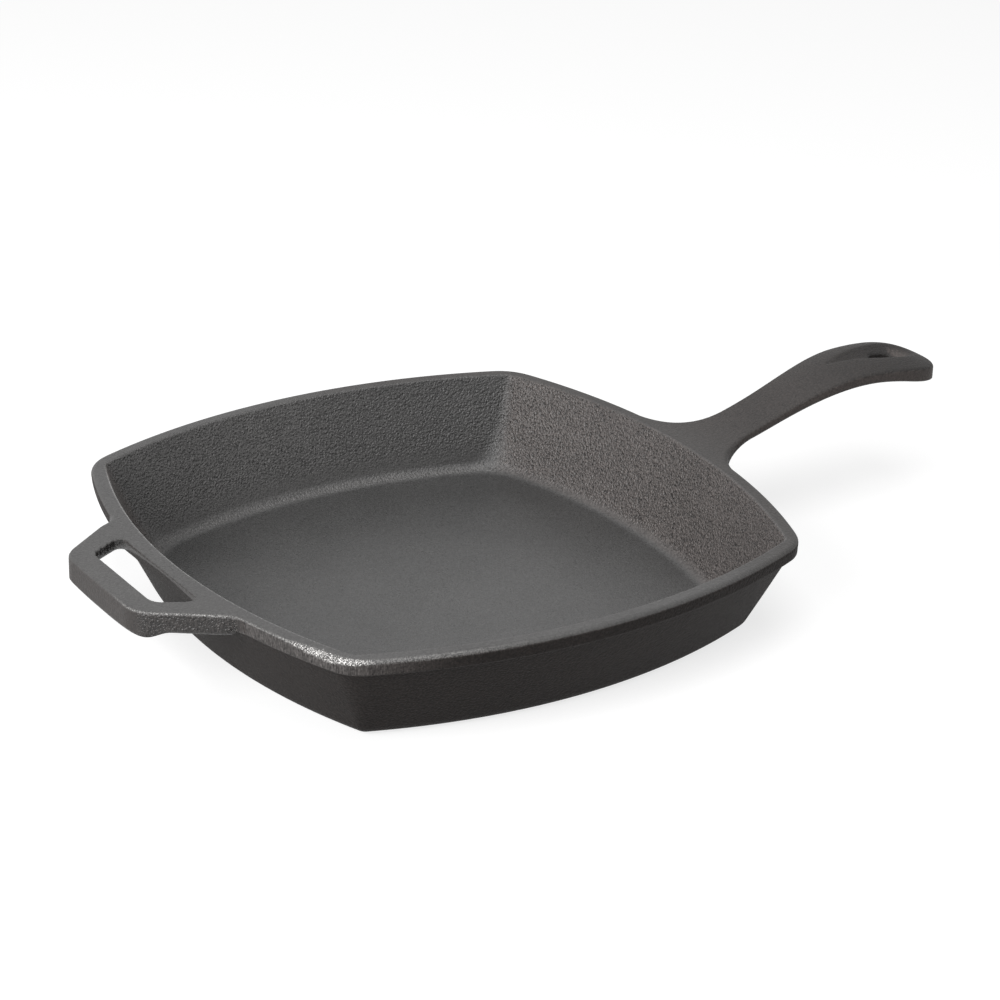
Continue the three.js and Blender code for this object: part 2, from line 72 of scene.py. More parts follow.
# Long handle, with lengths measured out from the rim
HANDLE_LENGTH = 139.4
HANDLE_CREST_AT = 94.7
HANDLE_CREST_RISE = 20.8
HANDLE_TIP_DROOP = 5.3
HANDLE_NECK_HALF_WIDTH = 13.4
HANDLE_PADDLE_HALF_WIDTH = 20.4
HANDLE_WIDENS_FROM = 39.0
HANDLE_NOSE_LENGTH = 22.6
NOSE_ROUNDNESS = 2.5
HANDLE_FLARE_RADIUS = 30.5
HANDLE_CROWN = 4.0
HANDLE_EDGE_ROUNDING = 1.25
HANDLE_ROOT_SIDE = 6.0
HANDLE_NECK_SIDE = 2.3
HANDLE_PADDLE_SIDE = 4.1
HANDLE_TIP_SIDE = 6.6
HANDLE_ROOT_DEPTH = 9.0
HANDLE_DEPTH = 8.0
HANDLE_TIP_DEPTH = 10.5
HANDLE_BLEND = 2.0
HANDLE_LEAST_BLEND = 0.01
HANDLE_LEAST_REACH = 0.05

# Dished teardrop and hanging hole
DISH_FROM = 78.0
DISH_TO = 132.0
DISH_HALF_WIDTH = 9.6
DISH_DEPTH = 5.4
DISH_TAPER = 0.9
DISH_ROUNDNESS = 4
DISH_SOFTNESS = 0.1
DISH_OUTLINE_POINTS = 400
HOLE_AT = 114.5
HOLE_LENGTH = 14.0
HOLE_WIDTH = 9.0
HOLE_ROUNDING = 1.2

# Helper handle, with lengths measured out from the rim
HELPER_REACH = 29.5
HELPER_OUTER_HALF_WIDTH = 32.0
HELPER_ROOT_HALF_WIDTH = 56.5
HELPER_THICKNESS = 10.0
HELPER_GRIP_DEPTH = 15.0
HELPER_GRIP_HALF_LENGTH = 36.0
HELPER_GRIP_BLUNTNESS = 3
HELPER_BAR_WIDTH = 11.6
HELPER_CORNER_RADIUS = 16.0
HELPER_HOLE_OUTER_HALF_WIDTH = 27.4
HELPER_HOLE_ROOT_HALF_WIDTH = 36.7
HELPER_HOLE_OUTER_RADIUS = 8.0
HELPER_HOLE_ROOT_RADIUS = 3.5
HELPER_HOLE_STANDOFF = 0.4
HELPER_HOLE_TOP_ROUNDING = 0.5
HELPER_LOWER_ROUNDING = 3.0
HELPER_GRIP_ROUNDING = 5.0
HELPER_HOLE_LOWER_ROUNDING = 9.5
HELPER_BLEND = 3.5
HELPER_EDGE_FADE = (0.5, 8.0)
GRIP_BLEND = 4.0

# Chips on the finger opening's upper edge, deepest at its far end. A wave is along x, along y and phase
CHIP_DEPTH = 0.5
CHIP_WAVES = ((1.1, 0.7, 0.0), (-0.5, 0.8, 1.0))
CHIP_HEIGHT = (HEIGHT - 4.0, HEIGHT - 0.5)
CHIP_REACH = (-166.0, -156.0)
CHIP_SLANT = 0.35
CHIP_MIDDLE = 30.0
CHIP_FAR_END = (5.0, 25.0)
CHIP_LEAST = 0.3

# Near corner, where the rim's outer edge was ground to a bevel
GROUND_AT = (-120.5, -105.0)
GROUND_SPREAD = 14.0
GROUND_BEVEL = 2.8
BEVEL_BLEND = 0.6

# Sharper outer edge of the rim, from the helper handle to the near corner
NEAR_EDGE_SIDE = (-10.0, 40.0)
NEAR_EDGE_SPAN = (30.0, 55.0)

# Casting scar on the band, beside the helper handle's near root
SCAR_AT = (-133.5, -55.5, 40.0)
SCAR_SPREAD = 2.2
SCAR_DEPTH = 1.0

# Planes on which the regions meet
FOOT_PLANE = FLOOR_THICKNESS + FLOOR_FILLET_RADIUS
RIM_PLANE = HEIGHT - HELPER_GRIP_DEPTH - 2.0
ROOT_PLANE = RIM_HALF_WIDTH + 1.5

# Mesh steps, and the room that each region's mesh is given
FLOOR_STEP = 1.6
WALL_STEP = 1.3
RIM_STEP = 0.7
HANDLE_STEP = 0.75
MESH_MARGIN = 3.0
HANDLE_ROOM = 60.0
HELPER_ROOM = 70.0
PROJECTIONS = 4
LEAST_SLOPE = 0.05


def lerp(a, b, t):
    return a + (b - a) * t


def smoothstep(x, start, end):
    t = np.clip((x - start) / (end - start), 0, 1)
    return t * t * (3 - 2 * t)


def wedge(a, b, cosine, radius):
    """Distance from the edge of two faces, rounded. cosine is between the faces' normals."""
    a, b = a + radius, b + radius
    corner = np.sqrt(np.maximum(a * a + b * b - 2 * cosine * a * b, 0) / (1 - cosine**2))
    return np.where((a > cosine * b) & (b > cosine * a), corner, np.maximum(a, b)) - radius


def soft_union(a, b, size):
    overlap = np.maximum(size - np.abs(a - b), 0) / size
    return np.minimum(a, b) - overlap * overlap * size / 4


def plan_distance(x, y, half_width, corner_radius):
    """Distance in plan from a square with bowed sides and rounded corners."""
    bow = SIDE_BOW_RADIUS - (RIM_HALF_WIDTH - half_width)
    centre = RIM_HALF_WIDTH - SIDE_BOW_RADIUS
    corner_at = (centre + np.sqrt(2 * (bow - corner_radius) ** 2 - centre**2)) / 2
    a = np.maximum(np.abs(x), np.abs(y))
    b = np.minimum(np.abs(x), np.abs(y))
    side = np.hypot(a - centre, b) - bow
    corner = np.hypot(a - corner_at, b - corner_at) - corner_radius
    return np.where(b * (corner_at - centre) > corner_at * (a - centre), corner, side)


def outer_half_width(z):
    return RIM_HALF_WIDTH - (HEIGHT - z) * math.tan(WALL_LEAN)


FLAT_HALF_WIDTH = (
    outer_half_width(BASE_EDGE_RADIUS * (1 - math.sin(WALL_LEAN))) - BASE_EDGE_RADIUS * math.cos(WALL_LEAN)
)
WALL_TOP_HALF_WIDTH = outer_half_width(HEIGHT - BAND_HEIGHT)
INNER_TOP = RIM_HALF_WIDTH - RIM_WIDTH
INNER_FOOT = outer_half_width(FLOOR_THICKNESS) - WALL_THICKNESS / math.cos(WALL_LEAN)
INNER_SLOPE = (INNER_TOP - INNER_FOOT) / (HEIGHT - FLOOR_THICKNESS)
INNER_LEAN = math.atan(INNER_SLOPE)


def bowl_outside(x, y, z):
    """Leaning wall with its rounded base edge, and the rim band over it, filled and open-topped."""
    half = outer_half_width(z)
    share = np.clip((half - FLAT_HALF_WIDTH) / (WALL_TOP_HALF_WIDTH - FLAT_HALF_WIDTH), 0, 1)
    wall = plan_distance(x, y, half, lerp(BASE_CORNER_RADIUS, BAND_CORNER_RADIUS, share**2))
    wall = wedge(wall * math.cos(WALL_LEAN), -z, math.sin(WALL_LEAN), BASE_EDGE_RADIUS)
    inset = BAND_DRAFT * (HEIGHT - z) / BAND_HEIGHT
    share = np.clip(1 - (HEIGHT - z) / BAND_HEIGHT, 0, 1)
    corner_radius = lerp(BAND_CORNER_RADIUS, RIM_CORNER_RADIUS, share) - inset
    band = plan_distance(x, y, RIM_HALF_WIDTH - inset, corner_radius)
    band = wedge(band, HEIGHT - BAND_HEIGHT - z, 0.0, BAND_LOWER_ROUNDING)
    return soft_union(wall, band, BAND_BLEND)


def bowl_inside(x, y, z):
    half = INNER_FOOT + (z - FLOOR_THICKNESS) * INNER_SLOPE
    share = np.clip((z - FLOOR_THICKNESS) / (HEIGHT - FLOOR_THICKNESS), 0, 1)
    corner_radius = lerp(INSIDE_CORNER_RADIUS, FLOOR_CORNER_RADIUS, np.exp(-share / CORNER_TIGHTENING))
    wall = plan_distance(x, y, half, corner_radius) * math.cos(INNER_LEAN)
    return wedge(wall, FLOOR_THICKNESS - z, math.sin(INNER_LEAN), FLOOR_FILLET_RADIUS)


HANDLE_TIP = RIM_HALF_WIDTH + HANDLE_LENGTH
HANDLE_CREST = RIM_HALF_WIDTH + HANDLE_CREST_AT
HANDLE_NOSE = HANDLE_TIP - HANDLE_NOSE_LENGTH
FLARE_TO_BOW = SIDE_BOW_RADIUS + HANDLE_FLARE_RADIUS
FLARE_ACROSS = HANDLE_NECK_HALF_WIDTH + HANDLE_FLARE_RADIUS
HANDLE_NECK = RIM_HALF_WIDTH - SIDE_BOW_RADIUS + math.sqrt(FLARE_TO_BOW**2 - FLARE_ACROSS**2)
FLARE_TOUCH = FLARE_ACROSS * SIDE_BOW_RADIUS / FLARE_TO_BOW


def handle_edge(x):
    climb = HANDLE_CREST_RISE * smoothstep(x, RIM_HALF_WIDTH, HANDLE_CREST)
    past = np.maximum(0, (x - HANDLE_CREST) / (HANDLE_TIP - HANDLE_CREST))
    return HEIGHT + climb - HANDLE_TIP_DROOP * past**2


def shank_half_width(x):
    widening = smoothstep(x, RIM_HALF_WIDTH + HANDLE_WIDENS_FROM, HANDLE_NOSE + HANDLE_NOSE_LENGTH / 2)
    return lerp(HANDLE_NECK_HALF_WIDTH, HANDLE_PADDLE_HALF_WIDTH, widening)


def handle_reach(x, y):
    """1 on the handle's outline in plan, 0 along its middle."""
    nose = np.maximum(0, (x - HANDLE_NOSE) / HANDLE_NOSE_LENGTH)
    half = shank_half_width(x)
    to_flare = np.hypot(np.minimum(x - HANDLE_NECK, 0), np.abs(y) - FLARE_ACROSS)
    beside = HANDLE_FLARE_RADIUS + HANDLE_NECK_HALF_WIDTH - half - to_flare
    beside = np.maximum(beside, np.abs(y) - FLARE_TOUCH)
    across = np.maximum(1 + beside / half, 0)
    return (nose**NOSE_ROUNDNESS + across**NOSE_ROUNDNESS) ** (1 / NOSE_ROUNDNESS)


def teardrop_swell(s):
    return s**DISH_TAPER * np.sqrt(1 - s**DISH_ROUNDNESS)


def dish_share(x, y):
    """1 on the teardrop's outline, 0 at its deepest point."""
    widest = (2 * DISH_TAPER / (2 * DISH_TAPER + DISH_ROUNDNESS)) ** (1 / DISH_ROUNDNESS)
    s = (1 - np.cos(np.linspace(0, np.pi, DISH_OUTLINE_POINTS))) / 2
    along = DISH_FROM + s * (DISH_TO - DISH_FROM) - HOLE_AT
    across = DISH_HALF_WIDTH * teardrop_swell(s) / teardrop_swell(widest)
    turn = np.arctan2(across, along)
    order = np.argsort(turn)
    along_here = x - RIM_HALF_WIDTH - HOLE_AT
    outline = np.interp(np.arctan2(np.abs(y), along_here), turn[order], np.hypot(along, across)[order])
    return np.hypot(along_here, y) / outline


def top_height(x, y):
    """Height of the upper surface: level over bowl and helper, crowned and dished on the long handle."""
    crown = HANDLE_CROWN * smoothstep(x, HANDLE_NECK, HANDLE_CREST)
    rise = crown * (1 - np.minimum(handle_reach(x, y), 1) ** 2)
    hollow = 1 - dish_share(x, y) ** 2
    hollow = (hollow + np.sqrt(hollow**2 + DISH_SOFTNESS**2)) / 2
    return handle_edge(x) + rise - DISH_DEPTH * hollow


def hole_distance(x, y):
    half_straight = (HOLE_LENGTH - HOLE_WIDTH) / 2
    along = np.maximum(np.abs(x - RIM_HALF_WIDTH - HOLE_AT) - half_straight, 0)
    return np.hypot(along, y) - HOLE_WIDTH / 2


def handle_outside(x, y, z):
    """Sides and round belly of the long handle, open-topped."""
    to_neck = smoothstep(x, RIM_HALF_WIDTH, HANDLE_NECK)
    to_paddle = smoothstep(x, HANDLE_NECK, HANDLE_CREST)
    to_tip = smoothstep(x, HANDLE_CREST, HANDLE_TIP)
    side = lerp(lerp(HANDLE_ROOT_SIDE, HANDLE_NECK_SIDE, to_neck), HANDLE_PADDLE_SIDE, to_paddle)
    side = lerp(side, HANDLE_TIP_SIDE, to_tip)
    belly = lerp(lerp(HANDLE_ROOT_DEPTH, HANDLE_DEPTH, to_neck), HANDLE_TIP_DEPTH, to_tip) - side
    out = np.maximum(handle_reach(x, y), HANDLE_LEAST_REACH)
    down = np.maximum(0, handle_edge(x) - side - z) / belly
    ratio = np.hypot(out, down)
    shape = (ratio - 1) * ratio / np.sqrt((out / shank_half_width(x)) ** 2 + (down / belly) ** 2)
    shape = np.maximum(shape, RIM_HALF_WIDTH - RIM_WIDTH - x)
    return wedge(shape, -hole_distance(x, y), 0.0, HOLE_ROUNDING)


HELPER_OUTER = -(RIM_HALF_WIDTH + HELPER_REACH)
HELPER_ROOT = SIDE_BOW_RADIUS - math.sqrt(SIDE_BOW_RADIUS**2 - HELPER_ROOT_HALF_WIDTH**2) - RIM_HALF_WIDTH
HELPER_RUN = math.hypot(HELPER_ROOT - HELPER_OUTER, HELPER_ROOT_HALF_WIDTH - HELPER_OUTER_HALF_WIDTH)
SLANT_X = (HELPER_ROOT_HALF_WIDTH - HELPER_OUTER_HALF_WIDTH) / HELPER_RUN
SLANT_Y = (HELPER_ROOT - HELPER_OUTER) / HELPER_RUN


def lower_inset(radius, underside, z):
    below = np.clip(underside + radius - z, 0, radius)
    return radius - np.sqrt(radius**2 - below**2)


def helper_outside(x, y, z):
    """Plate and grip of the helper handle, filled and open-topped."""
    underside = HEIGHT - HELPER_THICKNESS
    grip_underside = HEIGHT - HELPER_GRIP_DEPTH
    outer = HELPER_OUTER - x
    side = SLANT_Y * (np.abs(y) - HELPER_OUTER_HALF_WIDTH) - SLANT_X * (x - HELPER_OUTER)
    plan = wedge(outer, side, SLANT_X, HELPER_CORNER_RADIUS)
    plan = np.maximum(plan, x + RIM_HALF_WIDTH - RIM_WIDTH)
    plate = wedge(plan, underside - z, 0.0, HELPER_LOWER_ROUNDING)
    grip_top = underside + HELPER_LOWER_ROUNDING
    half_bar = HELPER_BAR_WIDTH / 2
    round_bar = np.hypot((x - HELPER_OUTER - half_bar) / half_bar,
                         np.maximum(0, grip_top - z) / (grip_top - grip_underside))
    along = np.abs(y) / HELPER_GRIP_HALF_LENGTH
    grip = (round_bar**HELPER_GRIP_BLUNTNESS + along**HELPER_GRIP_BLUNTNESS) ** (1 / HELPER_GRIP_BLUNTNESS)
    grip = np.maximum(np.maximum((grip - 1) * half_bar, plan), z - grip_top)
    return np.maximum(soft_union(plate, grip, GRIP_BLEND), plan)


HOLE_OUTER = HELPER_OUTER + HELPER_BAR_WIDTH
HOLE_ROOT = -(RIM_HALF_WIDTH + HELPER_HOLE_STANDOFF)
HOLE_RUN = math.hypot(HOLE_ROOT - HOLE_OUTER, HELPER_HOLE_ROOT_HALF_WIDTH - HELPER_HOLE_OUTER_HALF_WIDTH)
HOLE_SLANT_X = (HELPER_HOLE_ROOT_HALF_WIDTH - HELPER_HOLE_OUTER_HALF_WIDTH) / HOLE_RUN
HOLE_SLANT_Y = (HOLE_ROOT - HOLE_OUTER) / HOLE_RUN


def finger_opening(x, y, z):
    """Distance from the finger opening, negative inside it. Next to the bowl it follows the wall."""
    outer = HOLE_OUTER - x - lower_inset(HELPER_GRIP_ROUNDING, HEIGHT - HELPER_GRIP_DEPTH, z)
    side = HOLE_SLANT_Y * (np.abs(y) - HELPER_HOLE_OUTER_HALF_WIDTH) - HOLE_SLANT_X * (x - HOLE_OUTER)
    side = side - lower_inset(HELPER_HOLE_LOWER_ROUNDING, HEIGHT - HELPER_THICKNESS, z)
    root = (x - HOLE_ROOT) * math.cos(WALL_LEAN) - np.maximum(HEIGHT - z, 0) * math.sin(WALL_LEAN)
    hole = wedge(outer, side, HOLE_SLANT_X, HELPER_HOLE_OUTER_RADIUS)
    hole = wedge(hole, root, -HOLE_SLANT_X * math.cos(WALL_LEAN), HELPER_HOLE_ROOT_RADIUS)
    chips = math.prod(np.sin(a * x + b * y + phase) for a, b, phase in CHIP_WAVES)
    at_edge = smoothstep(z, *CHIP_HEIGHT) * smoothstep(x - CHIP_SLANT * np.abs(y - CHIP_MIDDLE), *CHIP_REACH)
    at_edge = at_edge * lerp(CHIP_LEAST, 1.0, smoothstep(y, *CHIP_FAR_END))
    return hole + CHIP_DEPTH * chips * at_edge


def top_slope(x):
    """Sine of the top's climb along the long handle."""
    rise = handle_edge(x + 0.5) - handle_edge(x - 0.5)
    return rise / np.hypot(1, rise)


def rim_middle(x, y):
    corner_radius = (RIM_CORNER_RADIUS + INSIDE_CORNER_RADIUS) / 2
    return plan_distance(x, y, RIM_HALF_WIDTH - RIM_WIDTH / 2, corner_radius)


def ground_corner(x, y):
    """1 at the near corner, where the rim's edge was ground down, fading along the rim."""
    return np.exp(-((x - GROUND_AT[0]) ** 2 + (y - GROUND_AT[1]) ** 2) / (2 * GROUND_SPREAD**2))


def near_edge(x, y):
    """1 along the rim from the helper handle to the near corner, where its outer edge is sharper."""
    return smoothstep(y - x, *NEAR_EDGE_SIDE) * smoothstep(-y, *NEAR_EDGE_SPAN)


def casting_scar(x, y, z):
    apart = (x - SCAR_AT[0]) ** 2 + (y - SCAR_AT[1]) ** 2 + (z - SCAR_AT[2]) ** 2
    return np.exp(-apart / (2 * SCAR_SPREAD**2))


def iron(x, y, z):
    """Distance from the casting's skin, negative inside the iron."""
    body = bowl_outside(x, y, z)
    blend = HANDLE_BLEND * smoothstep(HEIGHT - z, RIM_OUTER_ROUNDING, BAND_HEIGHT) + HANDLE_LEAST_BLEND
    body = soft_union(body, handle_outside(x, y, z), blend)
    body = soft_union(body, helper_outside(x, y, z), HELPER_BLEND)
    opening = finger_opening(x, y, z)
    body = np.maximum(body, -opening)
    body = np.maximum(body, -bowl_inside(x, y, z)) + SCAR_DEPTH * casting_scar(x, y, z)
    slope = top_slope(x)
    top = (z - top_height(x, y)) * np.sqrt(1 - slope**2)
    to_helper = smoothstep(plan_distance(x, y, RIM_HALF_WIDTH, RIM_CORNER_RADIUS), *HELPER_EDGE_FADE)
    off_rim = np.where(x > 0, smoothstep(x, RIM_HALF_WIDTH, HANDLE_NECK), to_helper)
    outward = lerp(RIM_OUTER_ROUNDING, HANDLE_EDGE_ROUNDING, np.maximum(off_rim, near_edge(x, y)))
    inner = rim_middle(x, y) < 0
    rounding = np.where(inner, RIM_INNER_ROUNDING, outward)
    rounding = np.where(opening < HELPER_BAR_WIDTH / 2, HELPER_HOLE_TOP_ROUNDING, rounding)
    skin = wedge(body, top, 0.0, rounding)
    ground = np.where(inner, 0, GROUND_BEVEL * ground_corner(x, y))
    bevel = (body + top + ground) / math.sqrt(2)
    return -soft_union(-skin, -bevel, BEVEL_BLEND)


def gradient(p, step=0.02):
    """Gradient of the field at points, one row each."""
    rows = []
    for axis in range(3):
        shift = np.zeros(3)
        shift[axis] = step
        rows.append((iron(*(p + shift).T) - iron(*(p - shift).T)) / (2 * step))
    return np.stack(rows, axis=1)


def surface_net(low, high, step):
    """Quads through the field's zero level, one point to a mixed cell, moved onto the level."""
    low, high = np.array(low, float), np.array(high, float)
    counts = np.ceil((high - low) / step).astype(int) + 1
    axes = [low[i] + step * np.arange(counts[i]) for i in range(3)]
    field = iron(axes[0][:, None, None], axes[1][None, :, None], axes[2][None, None, :])
    field = np.broadcast_to(field, counts)
    inside = field < 0
    corners = [(i, j, k) for i in (0, 1) for j in (0, 1) for k in (0, 1)]

    def shifted(values, corner):
        return values[tuple(slice(c, n - 1 + c) for c, n in zip(corner, counts))]

    full = sum(shifted(inside, c).astype(np.int8) for c in corners)
    mixed = (full > 0) & (full < 8)
    cells = np.argwhere(mixed)
    index = np.full(mixed.shape, -1)
    index[mixed] = np.arange(len(cells))
    values = {c: shifted(field, c)[mixed] for c in corners}
    total, crossings = np.zeros((len(cells), 3)), np.zeros(len(cells))
    for a in corners:
        for axis in range(3):
            if a[axis]:
                continue
            b = tuple(1 if i == axis else a[i] for i in range(3))
            crosses = (values[a] < 0) != (values[b] < 0)
            share = values[a][crosses] / (values[a][crosses] - values[b][crosses])
            total[crosses] += np.array(a) + share[:, None] * (np.array(b) - np.array(a))
            crossings[crosses] += 1
    points = low + step * (cells + total / crossings[:, None])
    for _ in range(PROJECTIONS):
        slope = gradient(points)
        move = iron(*points.T)[:, None] * slope / np.maximum((slope**2).sum(1), LEAST_SLOPE)[:, None]
        points -= np.clip(move, -step / 2, step / 2)
    quads = []
    for axis in range(3):
        u, v = (axis + 1) % 3, (axis + 2) % 3
        near = tuple(slice(0, counts[i] - 1) if i == axis else slice(1, counts[i] - 1) for i in range(3))
        far = tuple(slice(1, counts[i]) if i == axis else slice(1, counts[i] - 1) for i in range(3))
        edge = np.argwhere(inside[near] != inside[far])
        edge[:, [u, v]] += 1
        ring = []
        for du, dv in ((-1, -1), (0, -1), (0, 0), (-1, 0)):
            cell = edge.copy()
            cell[:, u] += du
            cell[:, v] += dv
            ring.append(index[tuple(cell.T)])
        ring = np.stack(ring, axis=1)
        outward = inside[tuple(edge.T)]
        quads.append(np.where(outward[:, None], ring, ring[:, ::-1]))
    return points, np.concatenate(quads)


def cast_piece(name, node, low, high, step, cuts):
    """One region of the casting: meshed past its planes, cut back to them and closed."""
    points, quads = surface_net(low, high, step)
    mesh = bpy.data.meshes.new(name)
    mesh.from_pydata((points * MM).tolist(), [], quads.tolist())
    work = bmesh.new()
    work.from_mesh(mesh)
    caps = work.faces.layers.int.new("cap")
    for axis, place, sign in cuts:
        normal = Vector([sign if i == axis else 0 for i in range(3)])
        at = Vector([place * MM if i == axis else 0 for i in range(3)])
        everything = [*work.verts, *work.edges, *work.faces]
        made = bmesh.ops.bisect_plane(
            work, geom=everything, dist=1e-7, plane_co=at, plane_no=normal, clear_outer=True)
        rim = [e for e in made["geom_cut"] if isinstance(e, bmesh.types.BMEdge) and e.is_valid]
        fill = bmesh.ops.triangle_fill(work, edges=rim, use_beauty=True, normal=normal)
        for face in fill["geom"]:
            if isinstance(face, bmesh.types.BMFace):
                face[caps] = 1
                if face.normal.dot(normal) < 0:
                    face.normal_flip()
    work.to_mesh(mesh)
    work.free()
    mesh.validate()
    finish_mesh(mesh)
    piece = bpy.data.objects.new(name, mesh)
    bpy.context.scene.collection.objects.link(piece)
    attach(piece, "root")
    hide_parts(node)
    return piece


# Finishes: grey tone, roughness, height of the pebbles and share of grinding
FINISH = ("tone", "rough", "pebbled", "ground")
WEAR = ("worn", "streaked_and_lit")
FLOOR_FINISH = np.array([0.048, 0.30, 0.14, 1.0])
FILLET_FINISH = np.array([0.064, 0.38, 0.45, 0.5])
WALL_FINISH = np.array([0.058, 0.40, 1.00, 0.25])
TOP_FINISH = np.array([0.052, 0.48, 0.22, 0.9])
HANDLE_TOP_FINISH = np.array([0.027, 0.72, 0.45, 0.2])
TIP_FINISH = np.array([0.013, 0.76, 0.6, 0.1])
SIDE_FINISH = np.array([0.017, 0.68, 0.5, 0.0])
# Long handle's sides: tone raised above the other sides as painted light
HANDLE_SIDE_LIT_FINISH = np.array([0.050, 0.66, 0.3, 0.0])
FAR_TOP_FINISH = np.array([0.036, 0.62, 0.3, 0.5])
HELPER_SIDE_FINISH = np.array([0.022, 0.42, 1.1, 0.2])
HELPER_FACE_FINISH = np.array([0.024, 0.60, 0.25, 0.0])
# Band round the near corner: real grinder streaks, with its tone raised as painted light
STREAKED_BAND_LIT_FINISH = np.array([0.070, 0.55, 0.3, 0.6])

# Fades from one finish to the next, each with its start and end
INSIDE_SKIN = (-0.8, -0.2)
FLOOR_UP = (0.85, 1.0)
FILLET_UP = (0.5, 0.85)
TOP_UP = (0.2, 0.5)
TOP_DEPTH = (-3.2, -1.5)
HANDLE_SPAN = (ROOT_PLANE - 12.0, ROOT_PLANE + 35.0)
PADDLE_SPAN = (HANDLE_CREST - 40.0, HANDLE_TIP - 20.0)
FAR_TOP_SPAN = (0.0, 110.0)
FAR_TOP_SLANT = 0.3
HELPER_OFF_RIM = (-1.5, -0.5)
HELPER_ROOTS = (-63.0, -59.0)
HELPER_FACING_OUT = (0.75, 0.95)

# Grinder's streaks on the band, round the near corner, where the band's tone is also raised as painted light
STREAKS_HEIGHT = (HEIGHT - BAND_HEIGHT - 0.6, HEIGHT - BAND_HEIGHT + 0.2)
STREAKS_UP = (-0.8, -0.5)
STREAKS_Y = (44.0, 54.0)
STREAKS_X = (60.0, 125.0)

# Wall on the left of the long handle: greyer, with painted shade that darkens it and more so towards its far
# end, smoother at its foot
LEFT_SIDE = (-6.0, 6.0)
LEFT_GROUND = 0.65
LEFT_FILLET_GROUND = 0.35
LEFT_PAINTED_SHADE = 0.08
LEFT_FAR_PAINTED_SHADE = 0.4
LEFT_FAR_SPAN = (-40.0, 90.0)
LEFT_SMOOTHING = 0.3
LEFT_FOOT_SMOOTHING = 0.45
LEFT_FOOT = (-20.0, -9.0)

# Painted shade on the sides of the hanging hole and finger opening, and a painted highlight on the dish's
# far slope
HOLE_PAINTED_SHADE = 0.7
HOLE_PAINTED_SHADE_FADE = (-2.0, -0.5)
OPENING_PAINTED_SHADE = 0.6
OPENING_PAINTED_SHADE_FADE = (-1.2, -0.2)
OPENING_PAINTED_SHADE_FROM = (142.0, 146.0)
GLINT_TONE = 0.05
GLINT_SHARE = (-0.95, -0.6)
GLINT_SPAN = (RIM_HALF_WIDTH + HOLE_AT + 6.0, RIM_HALF_WIDTH + HOLE_AT + 9.0)

# Worn edges, and the painted highlight along the rim's inner edge: height, how far the skin has turned up,
# and how near it is to flat
BEVEL_EDGE = ((HEIGHT - 5.0, HEIGHT - 2.5), (0.12, 0.3), (-0.995, -0.93))
BEVEL_SHARE = (0.15, 0.55)
SIDE_WEAR = 0.3
SIDE_WEAR_X = (20.0, 90.0)
SIDE_WEAR_FROM = (0.0, 20.0)
OUTER_EDGE = ((HEIGHT - 1.2, HEIGHT - 0.6), (0.35, 0.6), (-0.97, -0.88))
OUTER_WEAR = 0.6
OUTER_WEAR_CLEAR = (4.0, 6.0)
OUTER_WEAR_SIDE = (-20.0, 10.0)
OUTER_WEAR_Y = (5.0, 30.0)
INNER_EDGE = ((HEIGHT - 1.0, HEIGHT - 0.4), (0.2, 0.45), (-0.98, -0.9))
INNER_HIGHLIGHT_SIDE = (0.0, 30.0)
INNER_HIGHLIGHT_TONE = 0.2
SCAR_PEBBLES = 1.5


def helper_share(x, y):
    """1 on the helper handle and its roots, 0 on the rest of the pan."""
    off_rim = plan_distance(x, y, RIM_HALF_WIDTH, RIM_CORNER_RADIUS)
    return smoothstep(off_rim, *HELPER_OFF_RIM) * smoothstep(-np.abs(y), *HELPER_ROOTS) * (x < 0)


def on_edge(z, up, edge):
    height, turned, flat = edge
    return smoothstep(z, *height) * smoothstep(up, *turned) * smoothstep(-up, *flat)


def grinder_streaks(x, y, z, up):
    band = smoothstep(z, *STREAKS_HEIGHT) * smoothstep(-np.abs(up), *STREAKS_UP)
    return band * smoothstep(-y, *STREAKS_Y) * smoothstep(-x, *STREAKS_X)


def worn_edges(x, y, z, up):
    """1 on the ground bevel, less along the rim's and the helper handle's near outer edge."""
    along_side = SIDE_WEAR * smoothstep(-x, *SIDE_WEAR_X) * smoothstep(x - y, *SIDE_WEAR_FROM)
    bevel = np.maximum(smoothstep(ground_corner(x, y), *BEVEL_SHARE), along_side)
    line = smoothstep(finger_opening(x, y, z), *OUTER_WEAR_CLEAR)
    line *= smoothstep(y - x, *OUTER_WEAR_SIDE) * smoothstep(-y, *OUTER_WEAR_Y)
    return np.maximum(bevel * on_edge(z, up, BEVEL_EDGE), OUTER_WEAR * line * on_edge(z, up, OUTER_EDGE))


